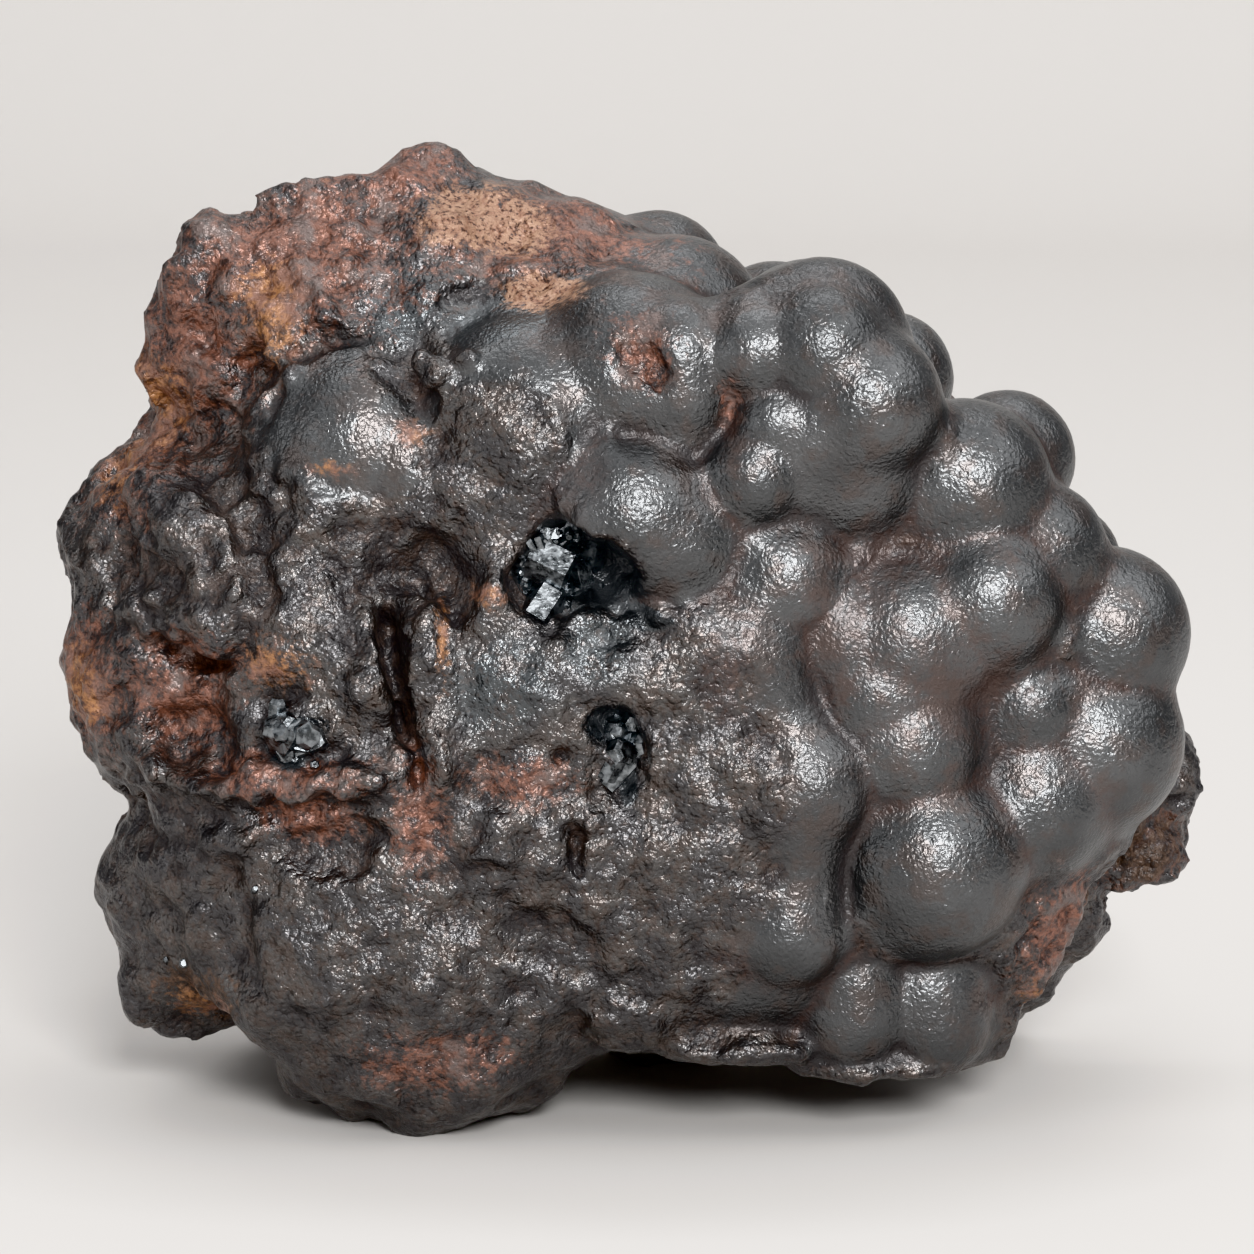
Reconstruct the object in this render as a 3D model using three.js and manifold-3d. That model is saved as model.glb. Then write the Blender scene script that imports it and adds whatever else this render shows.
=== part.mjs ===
// Botryoidal hematite ("kidney ore"): a hand specimen broken from a vein. Rounded lobes of hematite
// stand on the right of a broken, rusty mass, and a vug lined with small black crystals opens in it.
// Millimetres, +Z up. The origin is under the middle of the specimen, and -Y is its display side.
import * as THREE from "three";
import { ImprovedNoise } from "three/addons/math/ImprovedNoise.js";
import { mergeVertices } from "three/addons/utils/BufferGeometryUtils.js";
import Module from "manifold-3d";

const wasm = await Module();
wasm.setup();

// ---- driving dimensions

const MIDDLE = new THREE.Vector3(0, 2, 46); // the mass is shaped outwards from here
const FRONT_DEPTH = 29.5; // from the middle to the display side
const BACK_DEPTH = 27.5;
const BOXINESS = 2.6; // 2 is an ellipsoid, more is squarer
const FOOT_BOXINESS = 5; // the same, on the underside
const SKIN_DETAIL = 19; // 20 * (detail + 1)^2 facets
const CUT_GAP = 0.3; // clearance between the crystal crust and its hollow
const BLOCK = 200; // edge of a cutting block, larger than the specimen
const MASS_BLEND = 1.4; // fillet between the lobes and the mass
const HOLLOW_BLEND = 0.7; // rounding of a hollow's rim
const BREAK_BLEND = 1.5; // rounding of the edges between breaks
const OUTSIDE = 85; // farther out than any point of the specimen
const STRIDE = 0.8; // step of the search inwards for the skin
const HALVINGS = 8; // and how often the last step is halved

// The mass seen from the display side: its reach from the middle at each bearing, anticlockwise from +X.
const OUTLINE = [
  [0, 46],
  [12, 40],
  [25, 37],
  [43, 35],
  [68, 35],
  [87, 39],
  [100, 43.5],
  [108, 48],
  [115, 53],
  [122, 53],
  [129, 57],
  [134, 59],
  [138, 58.5],
  [143, 55.5],
  [150, 54],
  [157, 53],
  [164, 55.5],
  [170, 57],
  [177, 55.5],
  [185, 56],
  [191, 54.5],
  [197, 52.5],
  [203, 56],
  [210, 59.5],
  [216, 59],
  [223, 56],
  [231, 50],
  [243, 46],
  [257, 41],
  [270, 38.5],
  [285, 39.5],
  [298, 42],
  [310, 48],
  [322, 53],
  [331, 52.5],
  [339, 53],
  [347, 52],
  [354, 49],
];

// Swells (+) and sinks (-) of the display side: x, z, half width, half height, push outwards.
const FRONT_SWELLS = [
  [33, 40, 15, 21, -5.5], // bed of the lobes
  [26, 15, 9, 7, -2], // the same, lower down
  [5, 33, 11, 22, 1.8], // broken plateau
  [-22, 17, 13, 10, 3.2], // bulge at the foot
  [-44, 20, 6, 11, -4], // step beside the bulge
  [-9, 21, 8, 5, -2.2], // trough above the lower edge
  [-34, 36.5, 11, 2.6, 2.2], // ledge
  [-40, 43.5, 6, 3.5, -3.2], // sink over the ledge
  [-29, 31, 8, 3.5, -2], // sink under the ledge
  [-31, 50, 6, 7, -1.5],
  [-41, 53, 6, 4.5, 2],
  [-46, 62, 7, 5, 2.5],
  [-38, 67, 6, 4, -2],
  [-36, 76, 5, 6, 1.5],
  [-29, 84, 6, 5, 1.2],
  [-16, 27, 6, 5, 1.2],
];

// Swells and sinks of the back, in the same form.
const BACK_SWELLS = [
  [-30, 62, 18, 14, 3],
  [-8, 40, 14, 20, -4],
  [18, 62, 12, 14, 1],
  [-36, 28, 12, 10, -4],
  [12, 22, 16, 9, 1.5],
  [34, 34, 10, 14, -3],
  [-14, 80, 12, 7, -3],
];

// Lumps all over the broken mass, of three sizes.
const LUMPS = [
  { across: 16, out: 2 },
  { across: 8, out: 2 },
  { across: 4.5, out: 1.3 },
];

// Flat breaks across the mass: direction of each flat, and its distance from the middle.
const BREAKS = [
  [-0.72, -0.5, 0.48, 47.5], // upper left shoulder
  [-0.05, -0.77, 0.64, 34.5], // forward slope of the top
  [-0.55, 0.75, 0.3, 41],
  [0.25, 0.92, 0.3, 35],
  [0.1, 0.85, -0.52, 38],
  [-0.6, 0.55, -0.58, 48],
  [-0.05, 0.55, 0.84, 45],
  [0.75, 0.5, -0.43, 50],
];

// Lobes in the order they overlap: fillet of each family, then x, y, z, radius of each lobe.
const LOBE_FAMILIES = [
  {
    fillet: 1.2, // the big cluster at the top
    lobes: [
      [17.5, -16.5, 77, 9.1],
      [20.3, -19, 71, 9.4],
      [12.4, -18, 77, 7.2],
      [14.6, -19.5, 67.5, 9],
      [12.8, -21, 64.5, 6.6],
      [19, -18.5, 65.5, 8.4],
    ],
  },
  {
    fillet: 0.5, // its neighbours, the fronts of which are broken away
    lobes: [
      [-0.5, -15, 74.5, 9.8],
      [-10.5, -14.5, 69, 11.5],
      [-26.5, -13.5, 67.5, 9],
      [-0.5, -21.5, 61.5, 8.4],
      [3.5, -3, 77.5, 9.3],
      [2, 8, 81, 7.2],
      [-5, 5, 82.5, 6.5],
    ],
  },
  {
    fillet: 1.1, // the slope of the right side
    lobes: [
      [13.5, -20, 55.5, 7],
      [31.5, -14, 63.5, 8.5],
      [38.5, -13.5, 57, 7],
      [33.5, -18, 53, 7.4],
      [25.5, -17, 49, 9.6],
      [20, -18.5, 49.5, 7.6],
      [23, -19.5, 44.5, 7.4],
      [45.5, -10.5, 48.5, 8.6],
      [44, -11.5, 38, 9.6],
      [37.5, -16.5, 42.5, 5.6],
      [25.5, -19.5, 39.5, 7.8],
    ],
  },
  {
    fillet: 0.8, // lobes that stand clear at the foot of the slope
    lobes: [
      [38, -15, 33, 8.4],
      [28.4, -20, 27.4, 9.3],
      [22, -15, 15, 6.6],
      [30.5, -11, 12.5, 7],
    ],
  },
  {
    fillet: 1, // rims of the broken plateau
    lobes: [
      [9.5, -20.5, 48.5, 9],
      [12.5, -19, 35, 10.6],
      [12, -16.5, 20, 9.6],
    ],
  },
  {
    fillet: 1.6, // round the right end and over the back
    lobes: [
      [25, 6, 71.5, 6.8],
      [14, 14, 75, 7.5],
      [27, 18, 63, 7.6],
      [35.5, 6, 59.5, 7],
      [42, 2, 53, 6.6],
      [45.5, 10, 42.5, 7.6],
      [37, 18, 50, 8.2],
      [23, 23, 53, 7],
      [38, 20, 37, 7.4],
    ],
  },
];

// Knobs of the rough mass: x, y, z, half axes.
const KNOBS = [
  [-22, 1, 93, 3.8, 4, 4],
  [-28, 0, 89, 4.5, 5, 3],
  [-15.5, 2, 90, 4.5, 5, 2.6],
  [-33, -2, 89, 4, 4.5, 3],
  [-40.5, -4, 85, 4.6, 5, 4.4],
  [-43.5, -2, 77, 4, 6, 5],
  [-52, -3, 56.5, 5, 5, 3],
  [-50, -5, 43.5, 6.5, 8, 6],
  [-47, -6, 23, 6.5, 8, 7],
  [-45, -6, 13, 7, 8, 7.5],
  [-22, -11.5, 8, 15, 11, 9.2], // toe under the bulge
  [2, 10, 8, 11, 9, 9.4], // and the other feet, all worn flat where the specimen stands
  [27, 13, 11, 17, 13, 13],
  [-25, 12, 11, 18, 14, 12.6],
  [53, 9, 31, 5, 8, 7], // broken edge at the right end
  [50, 8, 24, 6, 8, 5],
  [42, 2, 15.5, 6, 10, 5],
  [33, -11, 9, 5, 7, 4.4],
];
const KNOB_BLEND = 2;

// Open hollows: centre, half axes, turn about X, Y, Z in degrees.
const HOLLOWS = [
  [[-14, -39, 63.5], [12, 15.5, 12.5], [0, 0, 0]], // broken face of the wide lobe
  [[0.5, -27.5, 76.5], [3.2, 3.6, 3.8], [0, 0, 0]], // pit in the lobe beside the cluster
  [[-22, -28.5, 57], [8.5, 8.5, 6.2], [0, 24, 0]], // arch under the wide lobe
  [[-42, -13, 7], [6.5, 8, 5.5], [0, 20, 0]], // brown cavity at the foot
  [[-41, -20.5, 47.5], [3.4, 3, 2], [0, 10, 0]],
  [[44, -8, 13], [7, 9, 4.6], [0, -32, 0]], // break under the lobes
];

// Narrow clefts with sharp rims, in the same form.
const CLEFTS = [
  [[-22.6, -28, 47], [2.8, 7, 8.5], [0, 8, 0]],
  [[-21.8, -28, 36.5], [2.4, 6.5, 7.5], [0, -12, 0]],
  [[-2.3, -29, 41], [3.2, 6.5, 6.4], [0, 20, 0]],
];

// The vug, as hollows that run into each other: centre, half axes, turn. Its crust lines all of them.
const VUG = [
  [[-1.5, -28, 57.8], [7, 11, 6.2], [0, 20, 0]],
  [[-8, -27, 56.4], [5, 7.5, 5], [0, -15, 0]],
  [[2.4, -26.5, 53.4], [4.6, 6.5, 4.4], [0, 30, 0]],
];
const VUG_MOUTH = -25; // the crust starts behind this plane
const VUG_DETAIL = 2;
const CRUST_THICKNESS = 1.2;

// Crystals of the crust: centre, half edge along, across and through, turn about X, Y, Z in degrees.
const VUG_CRYSTALS = [
  [[-8, -23.5, 57.3], [2.6, 2.2, 1.9], [20, 15, 8]],
  [[-4, -19.5, 59.5], [2.4, 2, 2.2], [40, -20, 30]],
  [[0.5, -19, 58.5], [2.6, 2.4, 1.6], [-25, 35, -10]],
  [[-2.5, -21, 54.8], [2.8, 2.4, 1.8], [15, -10, 48]],
  [[3.2, -22.5, 56.2], [2, 1.8, 1.8], [50, 10, 25]],
];

// Crystals that stand on the mass itself, in the same form.
const MASS_CRYSTALS = [
  [[-32, -23.5, 41], [3, 3, 1.9], [10, 6, 14]],
  [[-28.5, -24, 40.6], [1.7, 2.4, 1.6], [-14, 20, -12]],
];

// ---- helpers

const radians = THREE.MathUtils.degToRad;

function turnOf([turnX, turnY, turnZ]) {
  return new THREE.Euler(radians(turnX), radians(turnY), radians(turnZ));
}

function solidOf(geometry) {
  geometry.deleteAttribute("normal");
  geometry.deleteAttribute("uv");
  const merged = mergeVertices(geometry, 1e-4);
  return new wasm.Manifold(
    new wasm.Mesh({
      numProp: 3,
      vertProperties: merged.attributes.position.array,
      triVerts: new Uint32Array(merged.index.array),
    }),
  );
}

function place(geometry, centre, turn) {
  return geometry.applyMatrix4(new THREE.Matrix4().makeRotationFromEuler(turnOf(turn)).setPosition(...centre));
}

function ellipsoid([centre, halfAxes, turn], detail, shrink = 0) {
  const shape = new THREE.IcosahedronGeometry(1, detail).scale(...halfAxes.map((half) => half - shrink));
  return solidOf(place(shape, centre, turn));
}

function crystal([centre, [along, across, through], turn]) {
  const block = new THREE.CylinderGeometry(0.62, 1, 2, 6, 1); // a six-sided plate with a bevelled top
  block.scale(along, through, across);
  return solidOf(place(block, centre, turn));
}

function blockAt(x, y, z) {
  return solidOf(new THREE.BoxGeometry(BLOCK, BLOCK, BLOCK).translate(x, y, z));
}

function united(solids) {
  return solids.reduce((whole, solid) => whole.add(solid));
}

// ---- the form of the specimen, as a field: under zero inside, and about millimetres from the surface

// The lesser of two fields, with a fillet of this width where they meet.
function join(a, b, fillet) {
  const overlap = Math.max(fillet - Math.abs(a - b), 0) / fillet;
  return Math.min(a, b) - (overlap * overlap * fillet) / 4;
}

function carve(field, cutter, fillet) {
  return -join(-field, cutter, fillet);
}

function ellipsoidField(point, centre, halfAxes, turn) {
  const local = point.clone().sub(new THREE.Vector3(...centre));
  if (turn) local.applyMatrix4(new THREE.Matrix4().makeRotationFromEuler(turnOf(turn)).transpose());
  local.divide(new THREE.Vector3(...halfAxes));
  return (local.length() - 1) * Math.min(...halfAxes);
}

const noise = new ImprovedNoise();

function reachAt(bearing) {
  const next = OUTLINE.findIndex(([degrees]) => degrees > bearing);
  const [d1, r1] = next < 0 ? [360, OUTLINE[0][1]] : OUTLINE[next];
  const [d0, r0] = OUTLINE[(next < 0 ? OUTLINE.length : next) - 1];
  return THREE.MathUtils.lerp(r0, r1, (bearing - d0) / (d1 - d0));
}

function swellAt(swells, x, z) {
  return swells.reduce((push, [cx, cz, width, height, out]) => {
    const away = ((x - cx) / width) ** 2 + ((z - cz) / height) ** 2;
    return push + out * Math.exp(-away);
  }, 0);
}

function lumpiness({ x, y, z }) {
  return LUMPS.reduce((push, { across, out }) => {
    return push + out * noise.noise(x / across, y / across, z / across);
  }, 0);
}

function massField(point) {
  const out = point.clone().sub(MIDDLE);
  const distance = out.length();
  const bearing = (THREE.MathUtils.radToDeg(Math.atan2(out.z, out.x)) + 360) % 360;
  const depth = out.y < 0 ? FRONT_DEPTH : BACK_DEPTH;
  const downwards = Math.max(0, -out.z / distance);
  const power = THREE.MathUtils.lerp(BOXINESS, FOOT_BOXINESS, downwards);
  const across = Math.hypot(out.x, out.z) / reachAt(bearing);
  const fore = Math.abs(out.y) / depth;
  let field = distance * (1 - (across ** power + fore ** power) ** (-1 / power));
  for (const [nx, ny, nz, away] of BREAKS) {
    const flat = (nx * out.x + ny * out.y + nz * out.z) / Math.hypot(nx, ny, nz) - away;
    field = -join(-field, -flat, BREAK_BLEND);
  }
  for (const [x, y, z, ...halfAxes] of KNOBS) {
    field = join(field, ellipsoidField(point, [x, y, z], halfAxes), KNOB_BLEND);
  }
  const swells = out.y < 0 ? FRONT_SWELLS : BACK_SWELLS;
  const faceOn = THREE.MathUtils.smoothstep(fore, 0.1, 0.5);
  return field - faceOn * swellAt(swells, point.x, point.z) - lumpiness(point);
}

function lobeField(point) {
  const families = LOBE_FAMILIES.map(({ fillet, lobes }) =>
    lobes.reduce((field, [x, y, z, radius]) => {
      const lobe = Math.hypot(point.x - x, point.y - y, point.z - z) - radius;
      return join(field, lobe, fillet);
    }, OUTSIDE),
  );
  return Math.min(...families);
}

function specimenField(point) {
  let field = join(massField(point), lobeField(point), MASS_BLEND);
  for (const [centre, halfAxes, turn] of HOLLOWS) {
    field = carve(field, ellipsoidField(point, centre, halfAxes, turn), HOLLOW_BLEND);
  }
  return field;
}

// The outermost point of the specimen in one direction from the middle.
function skinPoint(direction) {
  const at = (reach) => direction.clone().multiplyScalar(reach).add(MIDDLE);
  let outer = OUTSIDE;
  while (outer > STRIDE && specimenField(at(outer - STRIDE)) > 0) outer -= STRIDE;
  let inner = outer - STRIDE;
  for (let halving = 0; halving < HALVINGS; halving++) {
    const half = (inner + outer) / 2;
    if (specimenField(at(half)) > 0) outer = half;
    else inner = half;
  }
  return at(inner);
}

function skinSolid() {
  const shape = new THREE.IcosahedronGeometry(1, SKIN_DETAIL);
  shape.deleteAttribute("normal");
  shape.deleteAttribute("uv");
  const skin = mergeVertices(shape, 1e-5);
  const corners = skin.attributes.position;
  for (let i = 0; i < corners.count; i++) {
    const point = skinPoint(new THREE.Vector3().fromBufferAttribute(corners, i).normalize());
    corners.setXYZ(i, point.x, point.y, point.z);
  }
  return solidOf(skin);
}

// ---- the specimen, as one piece

function specimenSolid() {
  const vug = united(VUG.map((spec) => ellipsoid(spec, VUG_DETAIL)));
  const clefts = united(CLEFTS.map((spec) => ellipsoid(spec, 1)));
  const crystals = united(MASS_CRYSTALS.map(crystal));
  return skinSolid().subtract(vug).subtract(clefts).add(crystals).subtract(blockAt(0, 0, -BLOCK / 2));
}

// ---- the crust of crystals in the vug

function crustSolid() {
  const lining = united(VUG.map((spec) => ellipsoid(spec, VUG_DETAIL, CUT_GAP)));
  const forwards = ([[x, y, z], halfAxes, turn]) => [[x, y - CRUST_THICKNESS / 2, z], halfAxes, turn];
  const room = united(VUG.map((spec) => ellipsoid(forwards(spec), VUG_DETAIL, CRUST_THICKNESS)));
  const crystals = united(VUG_CRYSTALS.map(crystal)).intersect(lining);
  return lining.subtract(room).add(crystals).subtract(blockAt(0, VUG_MOUTH - BLOCK / 2, 0));
}

// ---- scene graph

function meshOf(name, solid, material) {
  const { vertProperties, triVerts } = solid.getMesh();
  const geometry = new THREE.BufferGeometry();
  geometry.setAttribute("position", new THREE.BufferAttribute(vertProperties, 3));
  geometry.setIndex(new THREE.BufferAttribute(triVerts, 1));
  geometry.computeVertexNormals();
  const mesh = new THREE.Mesh(geometry, material);
  mesh.name = name;
  return mesh;
}

const hematite = new THREE.MeshStandardMaterial({ color: 0x55524f, roughness: 0.42, metalness: 0.6 });
const blackCrystal = new THREE.MeshStandardMaterial({ color: 0x1c1f22, roughness: 0.12, metalness: 0.7 });

const specimen = new THREE.Group();
specimen.add(meshOf("hematite_mass", specimenSolid(), hematite));
specimen.add(meshOf("vug_crystal_crust", crustSolid(), blackCrystal));

export default specimen;
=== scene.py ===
# Botryoidal hematite, a hand specimen of kidney ore, dressed for a studio picture.
# Metres, +Z up. The specimen stands on its worn underside at z = 0, with its display side towards -Y.
import math

import bmesh
import bpy
import numpy as np
from mathutils import Euler, Matrix, Vector, noise


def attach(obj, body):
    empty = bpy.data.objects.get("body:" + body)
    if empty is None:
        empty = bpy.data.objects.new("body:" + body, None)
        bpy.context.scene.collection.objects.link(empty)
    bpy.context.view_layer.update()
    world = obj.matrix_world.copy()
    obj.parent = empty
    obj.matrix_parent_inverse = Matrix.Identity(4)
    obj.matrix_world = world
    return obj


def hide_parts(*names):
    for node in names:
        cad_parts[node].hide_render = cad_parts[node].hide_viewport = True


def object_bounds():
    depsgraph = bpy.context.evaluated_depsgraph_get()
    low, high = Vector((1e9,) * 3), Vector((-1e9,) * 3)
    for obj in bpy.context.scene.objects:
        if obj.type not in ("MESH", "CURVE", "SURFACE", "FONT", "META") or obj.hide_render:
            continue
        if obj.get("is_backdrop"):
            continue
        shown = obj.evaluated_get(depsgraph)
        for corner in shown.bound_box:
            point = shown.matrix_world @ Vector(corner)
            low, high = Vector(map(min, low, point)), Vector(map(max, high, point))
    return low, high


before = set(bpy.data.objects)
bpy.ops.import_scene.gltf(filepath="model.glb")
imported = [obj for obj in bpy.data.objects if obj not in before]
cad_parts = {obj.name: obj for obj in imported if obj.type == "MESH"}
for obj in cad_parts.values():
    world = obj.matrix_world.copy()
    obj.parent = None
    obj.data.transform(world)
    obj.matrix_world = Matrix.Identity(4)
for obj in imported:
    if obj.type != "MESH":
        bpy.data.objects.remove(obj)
cad_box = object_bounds()
bpy.ops.object.select_all(action="DESELECT")

# ---------------------------------------------------------------- studio
# A pale seamless sweep under and behind the specimen, in a pale room. A small softbox behind and above
# the camera makes the highlights, and a large one overhead gives the soft light. None of this belongs to
# the specimen.

MM = 0.001  # in metres
FLOOR_HALF = 900 * MM
SWEEP_RADIUS = 260 * MM
SWEEP_STEPS = 16
BACKDROP_HEIGHT = 900 * MM
PAPER = "#d6d3d0"
ROOM = "#eaeaec"
ROOM_STRENGTH = 0.36
# Softboxes: place and aim in metres, width and height, and power in watts.
MIDDLE = (0, 0, 0.045)
SOFTBOXES = {
    "key": ((0.19, -0.97, 0.53), MIDDLE, (0.34, 0.3), 12),
    "top": ((0.1, -0.1, 1.5), MIDDLE, (3, 2.2), 14),
    "fill": ((-1.1, -0.6, 0.35), MIDDLE, (0.6, 0.6), 2),
    "side": ((1, -0.35, 0.95), MIDDLE, (0.9, 0.9), 4),
    "backdrop": ((0, 0.45, 1.5), (0, 1.15, 0.45), (1.2, 0.4), 7),
}
LOOK_AT = Vector((-1, 0, 47.2)) * MM
CAMERA_DISTANCE = 470 * MM
CAMERA_RISE = math.radians(10)
CAMERA_LENS = 135


def linear(colour):
    """An sRGB hex colour as linear RGBA."""
    shares = [int(colour[i : i + 2], 16) / 255 for i in (1, 3, 5)]
    return (*(share / 12.92 if share <= 0.04045 else ((share + 0.055) / 1.055) ** 2.4 for share in shares), 1)


def add_node(tree, kind, inputs, output=0, **settings):
    """Adds a shader node with its settings, links or sets its inputs, and returns one of its outputs, or
    the node where it has none or no output is asked for."""
    node = tree.nodes.new(kind)
    for name, value in settings.items():
        setattr(node, name, value)
    for key, value in inputs.items():
        if isinstance(value, bpy.types.NodeSocket):
            tree.links.new(value, node.inputs[key])
        else:
            node.inputs[key].default_value = value
    return node if output is None or not node.outputs else node.outputs[output]


def new_material(name):
    """A material without nodes, and its node tree."""
    material = bpy.data.materials.new(name)
    material.use_nodes = True
    tree = material.node_tree
    tree.nodes.clear()
    return material, tree


def make_sweep():
    """The floor, whose far edge is pulled back and up through a quarter turn and on into a wall."""
    bpy.ops.mesh.primitive_plane_add(size=2 * FLOOR_HALF, location=(0, 0, 0))
    sweep = bpy.context.object
    sweep.name = "paper_sweep"
    bpy.ops.object.mode_set(mode="EDIT")
    bpy.ops.mesh.select_mode(type="EDGE")
    bpy.ops.mesh.select_all(action="DESELECT")
    mesh = bmesh.from_edit_mesh(sweep.data)
    for edge in mesh.edges:
        edge.select_set(all(v.co.y > 0 for v in edge.verts))
    bmesh.update_edit_mesh(sweep.data)
    turn = math.pi / 2 / SWEEP_STEPS
    step = 2 * SWEEP_RADIUS * math.sin(turn / 2)
    for i in range(SWEEP_STEPS):
        along = turn * (i + 0.5)
        move = (0, step * math.cos(along), step * math.sin(along))
        bpy.ops.mesh.extrude_region_move(TRANSFORM_OT_translate={"value": move})
    bpy.ops.mesh.extrude_region_move(TRANSFORM_OT_translate={"value": (0, 0, BACKDROP_HEIGHT)})
    bpy.ops.object.mode_set(mode="OBJECT")
    bpy.ops.object.shade_smooth()
    material, tree = new_material("matt_paper")
    shader = add_node(tree, "ShaderNodeBsdfPrincipled", {"Base Color": linear(PAPER), "Roughness": 0.95})
    add_node(tree, "ShaderNodeOutputMaterial", {"Surface": shader})
    sweep.data.materials.append(material)
    sweep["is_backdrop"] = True


def aim(thing, target):
    """Turns a light or the camera towards this place."""
    thing.rotation_euler = (Vector(target) - thing.location).to_track_quat("-Z", "Y").to_euler()


make_sweep()
for name, (place, target, size, power) in SOFTBOXES.items():
    bpy.ops.object.light_add(type="AREA", location=place)
    light = bpy.context.object
    light.name = name
    light.data.shape = "RECTANGLE"
    light.data.size, light.data.size_y = size
    light.data.energy = power
    aim(light, target)

world = bpy.data.worlds.new("pale_room")
bpy.context.scene.world = world
world.use_nodes = True
world.node_tree.nodes["Background"].inputs["Color"].default_value = linear(ROOM)
world.node_tree.nodes["Background"].inputs["Strength"].default_value = ROOM_STRENGTH

back = Vector((0, -math.cos(CAMERA_RISE), math.sin(CAMERA_RISE)))
bpy.ops.object.camera_add(location=LOOK_AT + back * CAMERA_DISTANCE)
camera = bpy.context.object
camera.data.lens = CAMERA_LENS
camera.data.sensor_width = 36
aim(camera, LOOK_AT)
bpy.context.scene.camera = camera
bpy.context.scene.view_settings.view_transform = "Khronos PBR Neutral"

# ---------------------------------------------------------------- the hematite mass
# One natural piece: rounded lobes of radiating hematite, with a satin skin, on a broken granular mass
# stained by rust. The lobes grew as balls round their seeds until they met, and the rest of the surface
# is where the specimen broke out of its vein. All sizes and places of this piece are in millimetres.

# Lobes: x, y, z, radius.
LOBES = [
    # the big cluster at the top
    (10.9, -21, 77.2, 4.7),
    (17.4, -20.4, 77.4, 6.2),
    (21.5, -20.2, 72.4, 7.4),
    (12.9, -22.4, 70.6, 3.9),
    (16.8, -20.7, 69.8, 5.6),
    (10.9, -22.4, 65.6, 4.8),
    (19, -16.8, 69.4, 9),
    (17, -15, 76, 9.6),
    (15.3, -17.4, 66.6, 7.8),
    (20.3, -17, 65.3, 7.4),
    # left of it and behind, some with their fronts broken off
    (-0.5, -15, 74.5, 9.8),
    (3.7, -19, 76.6, 6),
    (3.9, -18.8, 73.2, 6.2),
    (3.4, -17.6, 69.4, 6.4),
    (-10.5, -14.5, 69, 11.5),
    (-7.7, -18.6, 76, 3.6),
    (-5.7, -19.6, 73.7, 4),
    (-4, -20, 71.2, 3.8),
    (-26.5, -14, 67.5, 9.2),
    (-21.2, -17.9, 66.2, 5.6),
    (-0.5, -21, 61.5, 8.4),
    (-4.3, -24, 63, 4.2),
    (3.2, -21.4, 59.6, 7),
    (3.5, -3, 77.5, 9.3),
    (2, 8, 81, 7.2),
    (-5, 5, 82.5, 6.5),
    # the slope of the right side
    (13.5, -20, 55.5, 7),
    (31.5, -14, 63.5, 8.5),
    (36.2, -6, 65, 6.8),
    (38.5, -13.5, 57, 7),
    (33.5, -18, 53, 7.4),
    (25.5, -17, 49, 9.6),
    (20, -18.5, 49.5, 7.6),
    (23, -19.5, 44.5, 7.4),
    (45.5, -10.5, 48.5, 8.6),
    (44, -11.5, 38, 9.6),
    (37.5, -16.5, 42.5, 5.6),
    (25.5, -19.5, 39.5, 7.8),
    (38, -15, 33, 8.4),
    # at the foot of the slope, down to the lip
    (28, -20, 28, 9.1),
    (20.7, -18.6, 16.2, 5.4),
    (28.2, -15.8, 14.5, 6.3),
    (20.9, -18.4, 12.6, 5.7),
    (28.6, -15.8, 11.4, 6.3),
    # under the swollen rim
    (9.5, -19.5, 48.5, 8.6),
    (11.8, -18.6, 34, 10.6),
    (12, -16.5, 20, 9.6),
    (10, -21.5, 52.8, 4.2),
    # round the right end and over the back
    (25, 6, 71.5, 6.8),
    (14, 14, 75, 7.5),
    (27, 18, 63, 7.6),
    (35.5, 6, 59.5, 7),
    (42, 2, 53, 6.6),
    (45.5, 10, 42.5, 7.6),
    (37, 18, 50, 8.2),
    (23, 23, 53, 7),
    (38, 20, 37, 7.4),
]
# The swollen rim beside the broken front: three lobes that have run together, with waists between them.
RIM = [(10.6, -22.6, 48.4, 5.7), (16, -22.9, 36, 6.5), (14.2, -22.5, 22, 6.1)]
RIM_STEPS = 4
RIM_WAIST = 1.2  # how much narrower a waist is
for start, end in zip(RIM, RIM[1:]):
    for i in range(RIM_STEPS + 1):
        along = i / RIM_STEPS
        *middle, radius = (a + along * (b - a) for a, b in zip(start, end))
        LOBES.append((*middle, radius - RIM_WAIST * math.sin(math.pi * along)))
BALL_DETAIL = 5
NODULE_DETAIL = 3

# Small round knobs beside the wide lobe, in the same form.
NODULES = [
    (-18.4, -21.4, 75.2, 1.7),
    (-17, -22.2, 73.4, 1.2),
    (-20.3, -20.8, 76.4, 1.1),
    (-15.8, -22, 76.6, 1.2),
]

# Rough matrix that buries the lower flanks of some lobes: centre and half axes.
MATRIX = [
    ((-19.5, -16.5, 63), (8, 6, 8.5)),
    ((-28, -15.5, 59.5), (9, 6.4, 5)),
    ((4, -20, 51), (7, 7.6, 8)),
    ((-2.3, -24.5, 41), (5, 3.4, 8)),
    ((-22.6, -24.5, 47), (4.5, 3.2, 9)),
    ((-21.8, -24.5, 36.5), (4.5, 3.4, 9)),
    ((3.5, -21.5, 54.5), (5, 5.5, 5)),
    ((1, -20.4, 56.4), (5.4, 3.4, 4.6)),
    ((10, -19.4, 9.6), (9, 5.4, 1.8)),
    ((23, -17.2, 7.4), (9.6, 5.6, 1.7)),
    ((-3.4, -21.4, 50.6), (3.6, 4.2, 4.4)),
]

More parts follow.
